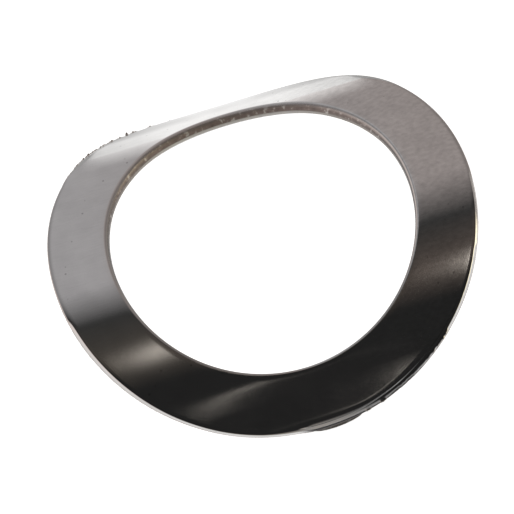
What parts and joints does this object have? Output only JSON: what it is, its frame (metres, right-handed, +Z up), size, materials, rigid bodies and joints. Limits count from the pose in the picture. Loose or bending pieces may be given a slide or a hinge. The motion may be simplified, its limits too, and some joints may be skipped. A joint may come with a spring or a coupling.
{
  "type": "curved wave washer",
  "caption": "Thin polished steel spring washer, a flat blanked ring bent over one axis into a low arch, that presses two parts apart when it is squeezed flat.",
  "frame": {"origin": "on the ground under the middle of the washer, which stands on its front and back ends", "axes": "+X along the axis that the ring is bent over, +Y from the front end to the back end, +Z up through the hole and out at the crown side"},
  "size_m": [0.019, 0.0176, 0.0035],
  "materials": {
    "spring_steel": "polished spring steel with fine scratches and rough blanked edges"
  },
  "bodies": {
    "root": {"washer": "spring_steel"}
  },
  "joints": []
}
